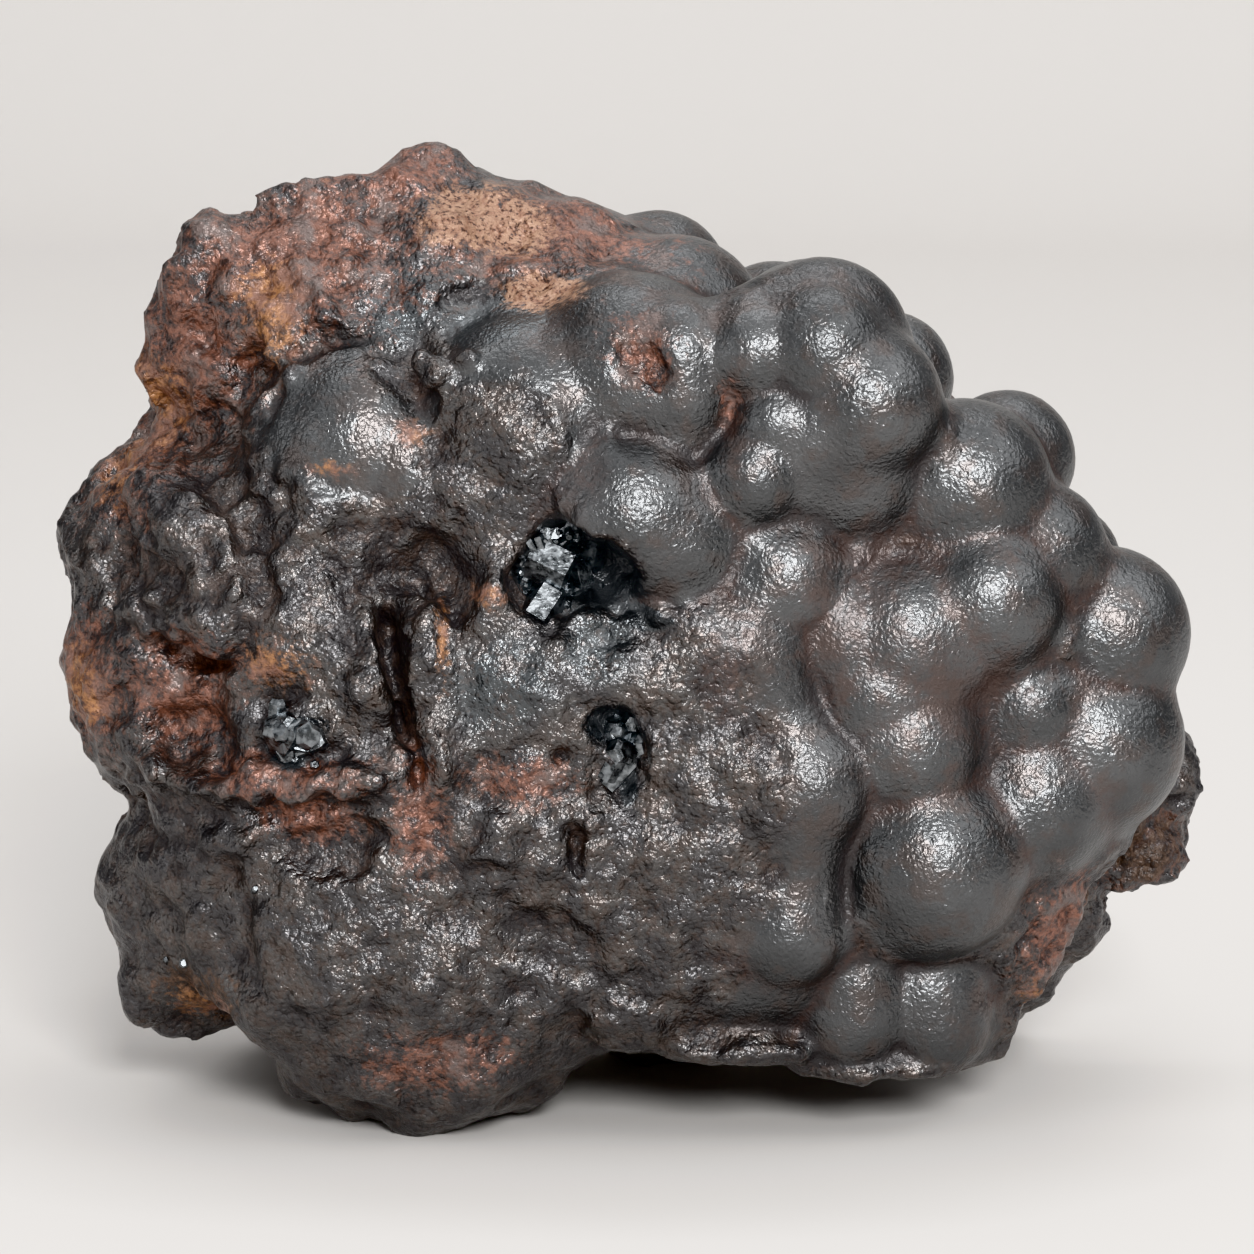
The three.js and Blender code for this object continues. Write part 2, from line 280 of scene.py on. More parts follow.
# What has broken away: centre, half axes, turn about X, Y and Z in degrees.
BROKEN_AWAY = [
    ((-13.4, -31.2, 66), (11, 6, 11), (0, 0, 0)),  # face of the wide lobe
    ((0.2, -24.9, 78), (2.4, 2.2, 2.2), (0, 0, 0)),  # pit in the lobe beside the cluster
    ((1.3, -24.8, 75.8), (1.6, 1.6, 1.9), (0, 20, 0)),
    ((-1.4, -25, 76.8), (1.7, 1.5, 1.5), (0, 0, 0)),
    ((-23, -27.4, 56), (6.4, 5, 5.2), (-14, 10, 0)),  # arch under the wide lobe
    ((-19.6, -25.4, 57.6), (2.8, 5.4, 3.8), (0, 16, 0)),
    ((-26.8, -25.4, 60), (3.4, 3.4, 1.8), (0, -8, 0)),
    ((0.8, -32.4, 33), (13, 4.2, 26), (0, 0, 3)),  # front of the plateau
    ((-42, -15, 7), (6.5, 8, 5.5), (0, 20, 0)),  # brown cavity at the foot
    ((-43.6, -26.4, 19), (7.8, 7, 15), (0, 4, 0)),  # step beside the bulge
    ((-41, -21, 47.5), (4, 3.4, 2), (0, 10, 0)),
    ((44, -10, 13), (6, 9, 4.2), (0, -32, 0)),  # break under the lobes
    ((48.6, -7, 23.4), (5, 7, 2.8), (0, -14, 0)),
    ((14, -17, -2), (23, 16, 8.6), (0, 0, 0)),  # hollow underside behind the lip
    ((-23.3, -27, 51), (1.5, 6, 5), (0, 3, 0)),  # cleft beside the panel
    ((-22.7, -27, 45), (1.2, 5.5, 5), (0, -6, 0)),
    ((-21.4, -28, 39.4), (0.8, 4, 4.5), (0, -16, 0)),
    ((-2.4, -29, 42.2), (3, 4.8, 2.8), (0, 30, 0)),  # glassy hollow
    ((-0.8, -29.2, 38.2), (2, 4.4, 4.2), (0, 10, 0)),
    ((-5.6, -29.2, 30.4), (1.1, 3, 3.2), (0, -6, 0)),
    ((-5.4, -27, 57.8), (6, 7.4, 3.6), (0, 24, 0)),  # mouth of the vug
    ((-8.4, -27, 56), (3.2, 7, 4.6), (0, -15, 0)),
    ((-3, -29.6, 52.4), (4.2, 4, 4.6), (0, 0, 0)),
    ((0.6, -27, 52.6), (0.9, 3, 4.2), (0, -44, 0)),
    ((3.2, -27, 53.8), (0.6, 2.4, 2.6), (0, -40, 0)),
]

# Patches of the surface, each as a centre and half axes. A patch fades in between two levels of cover, as
# the function patches counts it. First, where a lobe has lost its skin without losing its form.
SKINLESS_FADE = (-0.04, 0.04)
SKINLESS = [
    ((-1.6, -29, 34.5), (16.4, 6, 20)),
    ((-1.4, -29, 15), (13.4, 6, 12.4)),
    ((0.2, -25, 77), (2.3, 3, 2.5)),
    ((-1, -25, 78.8), (1.9, 3, 1.4)),
    ((1.5, -25, 75.4), (1.7, 3, 1.7)),
    ((-14.4, -26, 67.6), (8.2, 6, 8)),
    ((-20, -22, 60), (5, 6, 5)),
    ((-27, -20, 58.6), (9, 7, 4)),
    ((-3.8, -25, 58), (4.8, 9, 3.6)),
    ((-26, -23, 61), (6, 7, 2.6)),
    ((-22, -17, 76), (4, 6, 4)),
    ((22, -22, 6.4), (16, 8, 1.4)),
]
# Where the matrix is smooth.
SMOOTH_FADE = (-0.1, 0.3)
SMOOTH = [
    ((-13, -28, 46.4), (6.6, 4, 6.6)),
    ((-23, -14, 82), (5, 6, 6)),
    ((-3, -8, 86), (9, 7, 4)),
    ((-12, -15, 80.5), (10, 6, 3.6)),
]
# Where a break is nearly flat.
CALM_FADE = (-0.1, 0.25)
CALM = [
    ((3, -28, 33), (15, 8, 26)),
    ((-22, -28, 17), (15, 10, 12)),
    ((-12, -28, 45), (8, 6, 9)),
    ((-14, -24, 67), (8, 8, 9)),
]
# Where it keeps its depth all the same.
DEEP_FADE = (0, 0.3)
DEEP = [
    ((-2, -26, 41), (5, 7, 6)),
    ((-22.5, -26, 46), (4, 8, 9)),
    ((-5.6, -26, 30.6), (2, 5, 4.5)),
    ((-4, -26, 56.4), (9, 10, 8)),
]
# Where lobes have almost become one, and where the CAD surface follows them.
MERGED_FADE = (0, 0.2)
MERGED = [
    ((17.5, -20, 71), (12.5, 20, 15)),
    ((3, -20, 74), (7.5, 16, 9)),
    ((-6, -20, 74), (5, 16, 6)),
    ((-24.6, -20, 67), (8, 16, 7)),
    ((0.4, -22, 61), (8, 14, 7)),
    ((25, -20, 11), (10, 14, 8)),
    ((15, -24, 35), (7.5, 16, 22)),
]
RESHAPED = [MERGED[0], MERGED[-1]]
MERGE_SOFTNESS = 0.4  # width over which merged lobes flow into each other
MERGE_ROUNDS = 3
# Where a crust of small nodules has cracked.
CRACKED_FADE = (-0.1, 0.3)
CRACKED = [
    ((-28.4, -15, 79.5), (7, 7, 6)),
    ((-36, -20, 59), (8, 8, 7)),
    ((-46, -14, 54), (8, 10, 8)),
    ((-38, 10, 80), (16, 16, 14)),
    ((10, 24, 50), (18, 12, 18)),
]
CRACK_ACROSS = 2.6  # from crack to crack
CRACK_EDGES = (0.1, 0.55)  # half width of a crack at its bottom and at its top
CRACK_DEPTH = 0.9
# Where the breaks are roughest.
RUGGED_FADE = (-0.2, 0.5)
RUGGED = [
    ((-36, -6, 84), (18, 20, 14)),
    ((-50, -5, 62), (12, 20, 22)),
    ((-48, -12, 40), (12, 14, 14)),
    ((54, 4, 26), (12, 20, 14)),
    ((40, -12, 18), (7, 10, 9)),
    ((-27.5, -15, 77.7), (6, 6, 5)),
    ((-4, -24, 56), (10, 9, 8)),
    ((-1.8, -26, 40.4), (5, 7, 7)),
    ((-5.6, -26, 30.4), (3, 6, 5)),
]
# Steps in the display side of the matrix: x, z, half width, half height, turn in degrees, push outwards.
STEPS = [
    (-32, 45.3, 7.2, 5.8, 4, 1.5),  # block beside the cleft
    (-43, 47.6, 4.6, 1.3, -14, -2.4),  # slot under an overhang
    (-44, 51, 6, 2.6, -12, 1.2),
    (-43, 39.6, 4.4, 3.2, 0, -2.2),  # red hollow
    (-33.5, 36.6, 10, 1.3, 5, 1.6),  # ledge
    (-33, 33.9, 9, 1.3, 8, -1.3),  # and the step under it
    (-39.4, 31.4, 2.4, 2.6, 0, 1.2),
    (-28.5, 30.6, 5.4, 2.4, 12, -0.9),
    (-36.5, 57.5, 2, 5, 10, -1.4),
    (-46, 61, 4, 3.6, 0, 1),
    (-40.5, 66.5, 3.2, 4.6, 20, -1.5),
    (-34.5, 72, 1.5, 5, 8, -1.6),
    (-37.5, 74, 1.6, 3, -6, -1.8),  # dark gash
    (-45, 26.5, 4, 3, 0, 0.8),
    (-18.6, 46, 1.6, 9, 3, 0.9),  # strip beside the panel
    (-11, 37.6, 5.4, 3.4, -6, -0.9),  # sunken rusty bed
    (-14.5, 26.6, 6, 3, 10, -0.8),
    (-8, 21, 5, 3, -25, -1),
    (-1, 12.5, 3, 3.4, 0, 0.8),
    (-14, 82, 6, 1.4, 16, -0.8),
]
STEP_WARP = 1.1  # how far the outlines of the steps wander
STEP_WARP_ACROSS = 3.2
STEP_EDGE = 0.22  # half width of a step's edge, as a share of its half size
DISPLAY_SIDE = (6, 12)  # the steps fade in at this distance in front of the middle
# The relief of the breaks: the size of a form, its height on a plain break and what ruggedness adds.
SWELL = 5.5
SWELL_HEIGHT = (0.25, 0.35)
CHIPS = [(4.4, 0.11), (1.9, 0.16)]  # size, and slope of the faces
CHIP_HEIGHT = (0.5, 0.9)  # as a share of what the slope gives
LUMP = 1.2
LUMP_HEIGHT = (0.14, 0.1)
SMOOTH_SHARE = 0.7  # of the relief, gone where the matrix is smooth
CALM_SHARE = 0.3  # and where a break is nearly flat
CALM_ROUNDS = 70
WARP = 0.8  # how far the matrix is folded sideways
WARP_ACROSS = 5
SKIN_DEPTH = (-2.2, -1.8)  # how far under a lobe's surface its skin still counts as there
SKIN_HEIGHT = (0.7, 1.3)  # and how far over it
SKIN_EDGE = 0.14  # how far the edge of the skin wanders, in cover
SKIN_EDGE_ACROSS = 4
SKIN_ROUNDS = 2
WHOLE_SKIN = 0.98
DIMPLE = 0.05  # unevenness of the skin
DIMPLE_ACROSS = 3
LOBE_REACH = 1.4  # how far off a lobe's surface a crease still shows
FILLET_ROUNDS = 16
CREASE_WIDTH = 1  # to each side of a crease, where the lobes blend
GROOVE = 0.24  # how far the line of a crease is cut back
GROOVE_WIDTH = 0.5
PIT_DEPTH = 1.6  # in radii of the pit
# Round pits: centre and radius.
PITS = [
    ((14.8, -22.1, 83.5), 0.6),
    ((2.1, -23.8, 54.6), 1.2),
    ((-6.8, -28.3, 39.5), 1.1),
    ((-6.2, -28.5, 32.7), 1.3),
    ((2.6, -25, 15), 0.6),
    ((16.6, -26.2, 23.7), 0.9),
    ((-29.4, -21.5, 77.3), 0.8),
]
BITE = 3.2  # size of the bites in the edge of a break
BITE_DEPTH = 1.3
WELD = 0.01  # how close the corners of two triangles that join are
NORMAL_ROUNDS = 3
FIRST_VOXEL = 0.6
SECOND_VOXEL = 0.46
TRIANGLES_KEPT = 196000
# Factors without meaning, which scramble the place of a chip into the slope and the offset of its face.
SLOPE_SCRAMBLE = np.array([[12.99, 39.35, 73.16], [78.23, 11.13, 52.24], [37.72, 83.16, 9.15]])
OFFSET_SCRAMBLE = np.array([26.65, 61.21, 94.67])
OFFSET_SHARE = 0.4  # of a chip's offset in its height, beside its slope


def activate(thing):
    """Makes this the one selected object."""
    bpy.ops.object.select_all(action="DESELECT")
    thing.select_set(True)
    bpy.context.view_layer.objects.active = thing


def apply_modifier(thing, kind, **settings):
    """Gives a piece a modifier with these settings, and makes its effect part of the mesh."""
    activate(thing)
    modifier = thing.modifiers.new(kind.title(), kind)
    for name, value in settings.items():
        setattr(modifier, name, value)
    bpy.ops.object.modifier_apply(modifier=modifier.name)


def merged_copy(node, name):
    """A copy of a CAD node's mesh, its loose triangles joined at their corners."""
    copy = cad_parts[node].copy()
    copy.data = copy.data.copy()
    copy.name = name
    copy.parent = None
    for key in list(copy.keys()):
        del copy[key]
    bpy.context.collection.objects.link(copy)
    activate(copy)
    bpy.ops.object.mode_set(mode="EDIT")
    bpy.ops.mesh.select_all(action="SELECT")
    bpy.ops.mesh.remove_doubles(threshold=WELD * MM)
    bpy.ops.object.mode_set(mode="OBJECT")
    copy.data.materials.clear()
    return copy


def add_ball(place, half_axes, turn=(0, 0, 0), detail=BALL_DETAIL):
    """A ball stretched to these half axes and turned by these degrees."""
    bpy.ops.mesh.primitive_ico_sphere_add(
        subdivisions=detail,
        radius=1,
        location=[v * MM for v in place],
        rotation=[math.radians(v) for v in turn],
        scale=[v * MM for v in half_axes],
    )
    bpy.ops.object.transform_apply(location=True, rotation=True, scale=True)
    return bpy.context.object


def join_all(things, name):
    """One piece of several, under this name."""
    bpy.ops.object.select_all(action="DESELECT")
    for thing in things:
        thing.select_set(True)
    bpy.context.view_layer.objects.active = things[0]
    bpy.ops.object.join()
    things[0].name = name
    return things[0]


def points_of(thing):
    """The vertices of a piece, in millimetres."""
    flat = np.empty(len(thing.data.vertices) * 3, np.float32)
    thing.data.vertices.foreach_get("co", flat)
    return flat.reshape(-1, 3).astype(float) / MM


def set_points(thing, points):
    thing.data.vertices.foreach_set("co", (points * MM).astype(np.float32).ravel())
    thing.data.update()


def normals_of(thing):
    """Which way the surface faces at each vertex."""
    flat = np.empty(len(thing.data.vertices) * 3, np.float32)
    thing.data.vertex_normals.foreach_get("vector", flat)
    return flat.reshape(-1, 3).astype(float)


def edges_of(thing):
    """The two vertices of each edge."""
    flat = np.empty(len(thing.data.edges) * 2, np.int32)
    thing.data.edges.foreach_get("vertices", flat)
    return flat.reshape(-1, 2)


def averaged(values, edges, rounds):
    """Values at the vertices, evened out along the edges this many times."""
    count = len(values)
    ends = np.concatenate([edges[:, 0], edges[:, 1]])
    others = np.concatenate([edges[:, 1], edges[:, 0]])
    degree = np.maximum(np.bincount(ends, minlength=count), 1)
    columns = values.reshape(count, -1).copy()
    for _ in range(rounds):
        for column in columns.T:
            column[:] = np.bincount(ends, weights=column[others], minlength=count) / degree
    return columns.reshape(values.shape)


def smoothstep(low, high, values):
    """0 up to the low value, 1 from the high value on, and a soft rise between them."""
    share = np.clip((values - low) / (high - low), 0, 1)
    return share * share * (3 - 2 * share)


def lobe_distances(points):
    """Millimetres to the nearest lobe's surface and to the second nearest, under zero inside."""
    nearest = np.full(len(points), 1e3)
    second = nearest.copy()
    for x, y, z, radius in LOBES:
        away = np.linalg.norm(points - (x, y, z), axis=1) - radius
        second = np.minimum(second, np.maximum(nearest, away))
        nearest = np.minimum(nearest, away)
    return nearest, second


def merged_surface(points):
    """These points moved onto the surface of the lobes, as if the lobes had flowed into each other."""
    moved = points.copy()
    for _ in range(MERGE_ROUNDS):
        total = np.zeros(len(points))
        slope = np.zeros_like(points)
        for x, y, z, radius in LOBES:
            offset = moved - (x, y, z)
            length = np.linalg.norm(offset, axis=1)
            weight = np.exp(np.clip((radius - length) / MERGE_SOFTNESS, -30, 30))
            total += weight
            slope += (weight / length)[:, None] * offset
        slope /= total[:, None]
        steepness = np.maximum(np.einsum("ij,ij->i", slope, slope), 0.3)
        moved += (MERGE_SOFTNESS * np.log(total) / steepness)[:, None] * slope
    return moved


def patches(points, specs):
    """Coverage by the nearest of these patches: 1 in its middle, 0 at its edge and under zero outside."""
    cover = np.full(len(points), -2.0)
    for centre, half_axes in specs:
        away = np.linalg.norm((points - centre) / half_axes, axis=1)
        cover = np.maximum(cover, 1 - away)
    return cover


def fractal_noise(points, across, octaves=3, roughness=0.5, where=None):
    """Perlin noise at each point, about -1 to 1, its largest swells this many millimetres across."""
    values = np.zeros(len(points))
    picked = np.arange(len(points)) if where is None else np.flatnonzero(where)
    places = (points[picked] / across).tolist()
    fade = -math.log2(roughness)
    values[picked] = [noise.fractal(place, fade, 2, octaves, noise_basis="PERLIN_NEW") for place in places]
    return values


def wander(points, across, apart, where=None):
    """Noise in all three directions, each taken this many millimetres apart from the last."""
    return np.stack([fractal_noise(points + apart * i, across, 3, 0.5, where) for i in range(3)], axis=1)


def chips(points, across, tilt, where=None):
    """Angular chips this many millimetres across, each a plane with its own slope: their height, and the
    distance to the nearest edge of a chip."""
    heights = np.zeros(len(points))
    gaps = np.full(len(points), float(across))
    picked = np.arange(len(points)) if where is None else np.flatnonzero(where)
    scaled = points[picked] / across
    cells = [noise.voronoi(place) for place in scaled.tolist()]
    seeds = np.array([places[0] for _, places in cells])
    gaps[picked] = [across * (distances[1] - distances[0]) / 2 for distances, _ in cells]
    slopes = np.sin(seeds @ SLOPE_SCRAMBLE * 437.5)
    offsets = np.sin(seeds @ OFFSET_SCRAMBLE * 311.7)
    lean = np.einsum("ij,ij->i", scaled - seeds, slopes)
    heights[picked] = across * tilt * (lean + OFFSET_SHARE * offsets)
    return heights, gaps


def skin_at(points):
    """1 on the grown skin of a lobe, 0 where it is broken or on the matrix."""
    nearest, _ = lobe_distances(points)
    # Merged lobes fill the valleys between them, up to a millimetre over their own surfaces.
    nearest -= smoothstep(*MERGED_FADE, patches(points, MERGED))
    grown = smoothstep(*SKIN_DEPTH, nearest) * (1 - smoothstep(*SKIN_HEIGHT, nearest))
    edge = SKIN_EDGE * fractal_noise(points, SKIN_EDGE_ACROSS, 3)
    return grown * (1 - smoothstep(*SKINLESS_FADE, patches(points, SKINLESS) + edge))


# The solid: the CAD mass with its lobes and matrix, less what has broken away, with the knobs on top.
mass = merged_copy("hematite_mass", "kidney_ore")
apply_modifier(mass, "SUBSURF", levels=1, render_levels=1)
points = points_of(mass)
reshaped = smoothstep(*MERGED_FADE, patches(points, RESHAPED))
points += reshaped[:, None] * (merged_surface(points) - points)
set_points(mass, points)
balls = [add_ball(centre, (radius,) * 3) for *centre, radius in LOBES]
balls += [add_ball(*spec) for spec in MATRIX]
mass = join_all([mass, *balls], "kidney_ore")
apply_modifier(mass, "REMESH", mode="VOXEL", voxel_size=FIRST_VOXEL * MM, use_smooth_shade=True)

bites = bpy.data.textures.new("bites", "CLOUDS")
bites.noise_scale = BITE * MM
bites.noise_depth = 3
bitten = {"texture": bites, "texture_coords": "LOCAL", "strength": BITE_DEPTH * MM, "mid_level": 0.5}
cutters = [add_ball(*spec) for spec in BROKEN_AWAY]
for cutter in cutters:
    apply_modifier(cutter, "DISPLACE", **bitten)
cutter = join_all(cutters, "broken_away")
apply_modifier(cutter, "REMESH", mode="VOXEL", voxel_size=FIRST_VOXEL * MM)
apply_modifier(mass, "BOOLEAN", operation="DIFFERENCE", object=cutter, solver="MANIFOLD")
bpy.data.objects.remove(cutter)

nodules = [add_ball(centre, (radius,) * 3, detail=NODULE_DETAIL) for *centre, radius in NODULES]
mass = join_all([mass, *nodules], "kidney_ore")
apply_modifier(mass, "REMESH", mode="VOXEL", voxel_size=SECOND_VOXEL * MM, use_smooth_shade=True)

# The forms of the surface: flat breaks are evened out, lobes blend in the creases between them, and
# merged lobes flow together.
points = points_of(mass)
edges = edges_of(mass)
normals = averaged(normals_of(mass), edges, NORMAL_ROUNDS)
normals /= np.linalg.norm(normals, axis=1)[:, None]
skin = averaged(skin_at(points), edges, SKIN_ROUNDS)
broken = skin < WHOLE_SKIN
calm = smoothstep(*CALM_FADE, patches(points, CALM)) * (1 - skin)
calm *= 1 - smoothstep(*DEEP_FADE, patches(points, DEEP))
merged = smoothstep(*MERGED_FADE, patches(points, MERGED)) * skin
evened = averaged(points, edges, CALM_ROUNDS)
points += calm[:, None] * (evened - points)
nearest, second = lobe_distances(points)
on_lobe = nearest < LOBE_REACH
blend = skin * np.exp(-(((second - nearest) / CREASE_WIDTH) ** 2)) * on_lobe * (1 - merged)
filled = averaged(points, edges, FILLET_ROUNDS)
points += blend[:, None] * (filled - points)
soft = merged > 0
points[soft] += merged[soft, None] * (merged_surface(points[soft]) - points[soft])
groove = skin * (1 - merged) * np.exp(-(((second - nearest) / GROOVE_WIDTH) ** 2)) * on_lobe

# Its relief: swells, chips, cracks and steps where it is broken, dimples on the skin, and round pits.
rugged = smoothstep(*RUGGED_FADE, patches(points, RUGGED))


def on_breaks(plain, added):
    """A height on a plain break, and with what is added where a break is rugged."""
    return plain + added * rugged


relief = on_breaks(*SWELL_HEIGHT) * fractal_noise(points, SWELL, 4, 0.55, broken)
for across, slope in CHIPS:
    relief += on_breaks(*CHIP_HEIGHT) * chips(points, across, slope, broken)[0]
cracked = smoothstep(*CRACKED_FADE, patches(points, CRACKED))
_, gaps = chips(points, CRACK_ACROSS, 0, broken)
relief -= CRACK_DEPTH * cracked * (1 - smoothstep(*CRACK_EDGES, gaps))
relief += on_breaks(*LUMP_HEIGHT) * fractal_noise(points, LUMP, 2, 0.6, broken)
smooth = smoothstep(*SMOOTH_FADE, patches(points, SMOOTH))
relief *= 1 - SMOOTH_SHARE * smooth
warped = points + STEP_WARP * wander(points, STEP_WARP_ACROSS, 40)
in_front = smoothstep(*DISPLAY_SIDE, -points[:, 1])
for x, z, half_width, half_height, turn, out in STEPS:
    cosine, sine = math.cos(math.radians(turn)), math.sin(math.radians(turn))
    right, up = warped[:, 0] - x, warped[:, 2] - z
    away = np.hypot((right * cosine + up * sine) / half_width, (up * cosine - right * sine) / half_height)
    relief += out * in_front * (1 - smoothstep(1 - STEP_EDGE, 1 + STEP_EDGE, away))
dimples = DIMPLE * fractal_noise(points, DIMPLE_ACROSS, 2)
push = (1 - skin) * relief * (1 - CALM_SHARE * calm) + skin * dimples - GROOVE * groove
for centre, radius in PITS:
    away = np.linalg.norm(points - centre, axis=1) / radius
    push -= PIT_DEPTH * radius * np.clip(1 - away**2, 0, 1)
fold = wander(points, WARP_ACROSS, 80, broken)
points += normals * push[:, None] + WARP * (1 - skin)[:, None] * fold
set_points(mass, points)
apply_modifier(mass, "REMESH", mode="VOXEL", voxel_size=SECOND_VOXEL * MM, use_smooth_shade=True)
apply_modifier(mass, "TRIANGULATE")
apply_modifier(mass, "DECIMATE", ratio=TRIANGLES_KEPT / len(mass.data.polygons))
bpy.ops.object.shade_smooth()
points = np.clip(points_of(mass), *(np.array(cad_box) / MM))
set_points(mass, points)

# Stains and finishes that follow the surface, as patches.
STAINS = {
    "rust": [  # red and brown iron oxide, loose and earthy
        ((-34, -10, 86), (13, 14, 8)),
        ((-44, -6, 76), (7, 12, 10)),
        ((-49, -4, 66), (6, 12, 8)),
        ((-23, -4, 93), (8, 10, 5)),
        ((-10, -6, 88), (14, 10, 6)),
        ((-41, -18, 48), (6, 8, 3)),
        ((-44, -16, 43), (7, 10, 5)),
        ((-34, -25, 37.5), (11, 6, 2.2)),
        ((-31, -25, 33), (5, 5, 2.4)),
        ((-20.8, -26, 34), (2.4, 6, 6)),
        ((-11, -28, 37.4), (4.6, 4, 2)),
        ((50.6, -2, 24.2), (6, 10, 3.4)),
        ((41, -14, 19.6), (4, 8, 7)),
        ((0.4, -23, 77), (3.2, 5, 3.4)),
        ((8.6, -23, 73), (1.1, 4, 1.8)),
        ((-54, -8, 44), (5, 12, 7)),
        ((-19, -27, 9), (7, 6, 3)),
        ((28, 24, 66), (12, 9, 8)),
        ((10, 26, 40), (22, 8, 22)),
        ((-50, 12, 40), (10, 12, 26)),
    ],
    "orange": [  # ochre
        ((-35.2, -14, 78.6), (3, 5, 4)),
        ((-36, -12, 82.5), (4, 5, 2.6)),
        ((-47, -4, 71), (4, 8, 5)),
        ((-50, -3, 63), (4, 8, 4)),
        ((-55, -9, 43), (4, 7, 4)),
        ((-21.2, -21, 69.4), (2, 3, 1.4)),
        ((-29, -23, 66.3), (2, 3, 1)),
        ((-18.4, -26, 50), (0.9, 4, 5)),
        ((-14, -26, 54.6), (2, 4, 1.2)),
        ((-34.5, -24, 48), (3.4, 5, 2.6)),
        ((38.6, -12, 13.6), (1.6, 6, 2)),
        ((-43, -14, 10.6), (4.4, 10, 3)),
        ((-30, 10, 88), (10, 10, 6)),
        ((0, 28, 30), (12, 6, 10)),
    ],
    "tan": [  # a porous crust of pale ochre
        ((-16, -6, 89), (6, 8, 3.6)),
        ((-12, -7, 88), (4.5, 8, 3)),
        ((-9.6, -13, 82), (3.6, 5, 2)),
        ((-5.5, -13, 82), (3, 5, 1.6)),
    ],
    "brown": [  # brown goethite
        ((-42.6, -14, 12.6), (5, 12, 4)),
        ((50, -4, 24.2), (6.5, 12, 3.6)),
        ((-20, 24, 20), (16, 8, 12)),
    ],
    "blue": [  # smooth grey matrix with a bluish cast
        ((-3.8, -26, 50.6), (4.4, 7, 4.4)),
        ((-13, -28, 46.6), (6.4, 4, 5.4)),
        ((-23, -14, 82), (4.6, 6, 6)),
        ((-15, -16, 80), (7, 6, 3)),
        ((-37, -11, 85), (2.6, 5, 1.6)),
    ],
    "black": [  # black glassy matrix
        ((-2.6, -25, 42.4), (2.6, 6, 2.2)),
        ((-0.9, -25, 38.4), (1.1, 5, 3.8)),
        ((-2, -21, 58.5), (8, 7, 5)),
        ((1.2, -26, 52.4), (2.6, 5, 1.3)),
        ((-33, -25, 41), (3.4, 5, 3)),
    ],
    "dust": [  # reddish dust on the lobes
        ((22, -22, 58), (8, 8, 4)),
        ((20, -24, 51), (7, 7, 7)),
        ((30, -22, 45), (8, 9, 8)),
        ((36, -16, 56), (5, 8, 4)),
        ((9.2, -23, 70), (1.6, 4, 6)),
    ],
}
# Patches of painted shade: hollows, the lip and other places that lie in shade are painted darker.
SHADED_PATCHES = [
    ((-37, -20, 56), (8, 10, 7)),
    ((-38, -22, 51), (9, 8, 5)),
    ((-23, -22, 54), (8, 8, 9)),
    ((-22, -22, 44), (3, 8, 8)),
    ((-18, -26, 31), (7, 6, 4)),
    ((-5, -24, 57), (9, 8, 5)),
    ((47, -8, 24), (7, 10, 3)),
    ((-47, -20, 30), (8, 8, 5)),
    ((-43, -14, 57), (12, 14, 10)),
    ((-22.5, -22, 59), (7, 8, 5)),
    ((-20, -24, 36.5), (6, 9, 7)),
    ((14, -22, 8.4), (20, 9, 3)),
]
SHADED_PATCHES_FADE = (-0.1, 0.4)
SHADED_PATCHES_SWIRL = 0.3  # how far the outline of a patch of painted shade wanders, in cover
SHADED_PATCHES_ACROSS = 6
SHADED_PATCHES_SHARE = 1.2  # what a patch of painted shade adds to a recess
RECESS_ROUNDS = 12
RECESS_DEPTH = 0.25  # depth of a recess that counts as 1
RECESS_LIMITS = (-1, 1.4)
CREASE_FADE = (0, 1.6)  # a crease ends where one lobe is this much nearer than the next
CREASE_HEIGHT = (0.8, 2)  # and this far off the lobes
MERGED_SHARE = 0.8  # of a crease, gone where lobes have merged
SWIRL = 0.35  # how far the outline of a stain wanders, in cover
SWIRL_ACROSS = 7
TAN_SHARE = 0.5  # of the swirl, left for the tan stains


def store(name, values):
    """Keeps a value for each vertex of the mass, for its material."""
    layer = mass.data.attributes.new(name, "FLOAT", "POINT")
    layer.data.foreach_set("value", values.astype(np.float32))


nearest, second = lobe_distances(points)
merged = smoothstep(*MERGED_FADE, patches(points, MERGED))
store("skin", skin_at(points))
# Painted shade: how deep each vertex lies in a recess, with the patches of painted shade added, later darkens
# its colour.
evened = averaged(points, edges_of(mass), RECESS_ROUNDS)
recess = np.einsum("ij,ij->i", evened - points, normals_of(mass))
shade_cover = patches(points, SHADED_PATCHES) + SHADED_PATCHES_SWIRL * fractal_noise(points, SHADED_PATCHES_ACROSS, 3)
recess = recess / RECESS_DEPTH + SHADED_PATCHES_SHARE * smoothstep(*SHADED_PATCHES_FADE, shade_cover)
store("recess", np.clip(recess, *RECESS_LIMITS))
crease = (1 - smoothstep(*CREASE_FADE, second - nearest)) * (1 - smoothstep(*CREASE_HEIGHT, nearest))
store("crease", crease * (1 - MERGED_SHARE * merged))
swirl = SWIRL * fractal_noise(points, SWIRL_ACROSS, 3)
for name, specs in STAINS.items():
    store(name, patches(points, specs) + (TAN_SHARE * swirl if name == "tan" else swirl))

# Hematite: iron oxide with a metallic lustre, steel grey to black. Its grown skin is satin and finely
# puckered, its breaks are flaky and glitter, and red ochre and brown goethite stain both.
SMOOTH_STEP = {"interpolation_type": "SMOOTHSTEP"}
COLOUR_MIX = {"data_type": "RGBA"}
# Patterns, each noise by its size across, octaves, roughness and distortion.
NOISES = {
    "fine": (0.9, 5, 0.7),
    "coarse": (3.4, 3, 0.6),
    "broad": (9, 2),
    "warp": (1.1, 2),
    "pores": (0.45, 3, 0.6),
    "pucker": (0.42, 1.5, 0.6, 0.4),
    "swell": (1.2, 2),
    "stroke": (0.7, 2, 0.6, 0.6),
    "lump": (2.2, 3, 0.6),
    "grit": (0.28, 1),
}
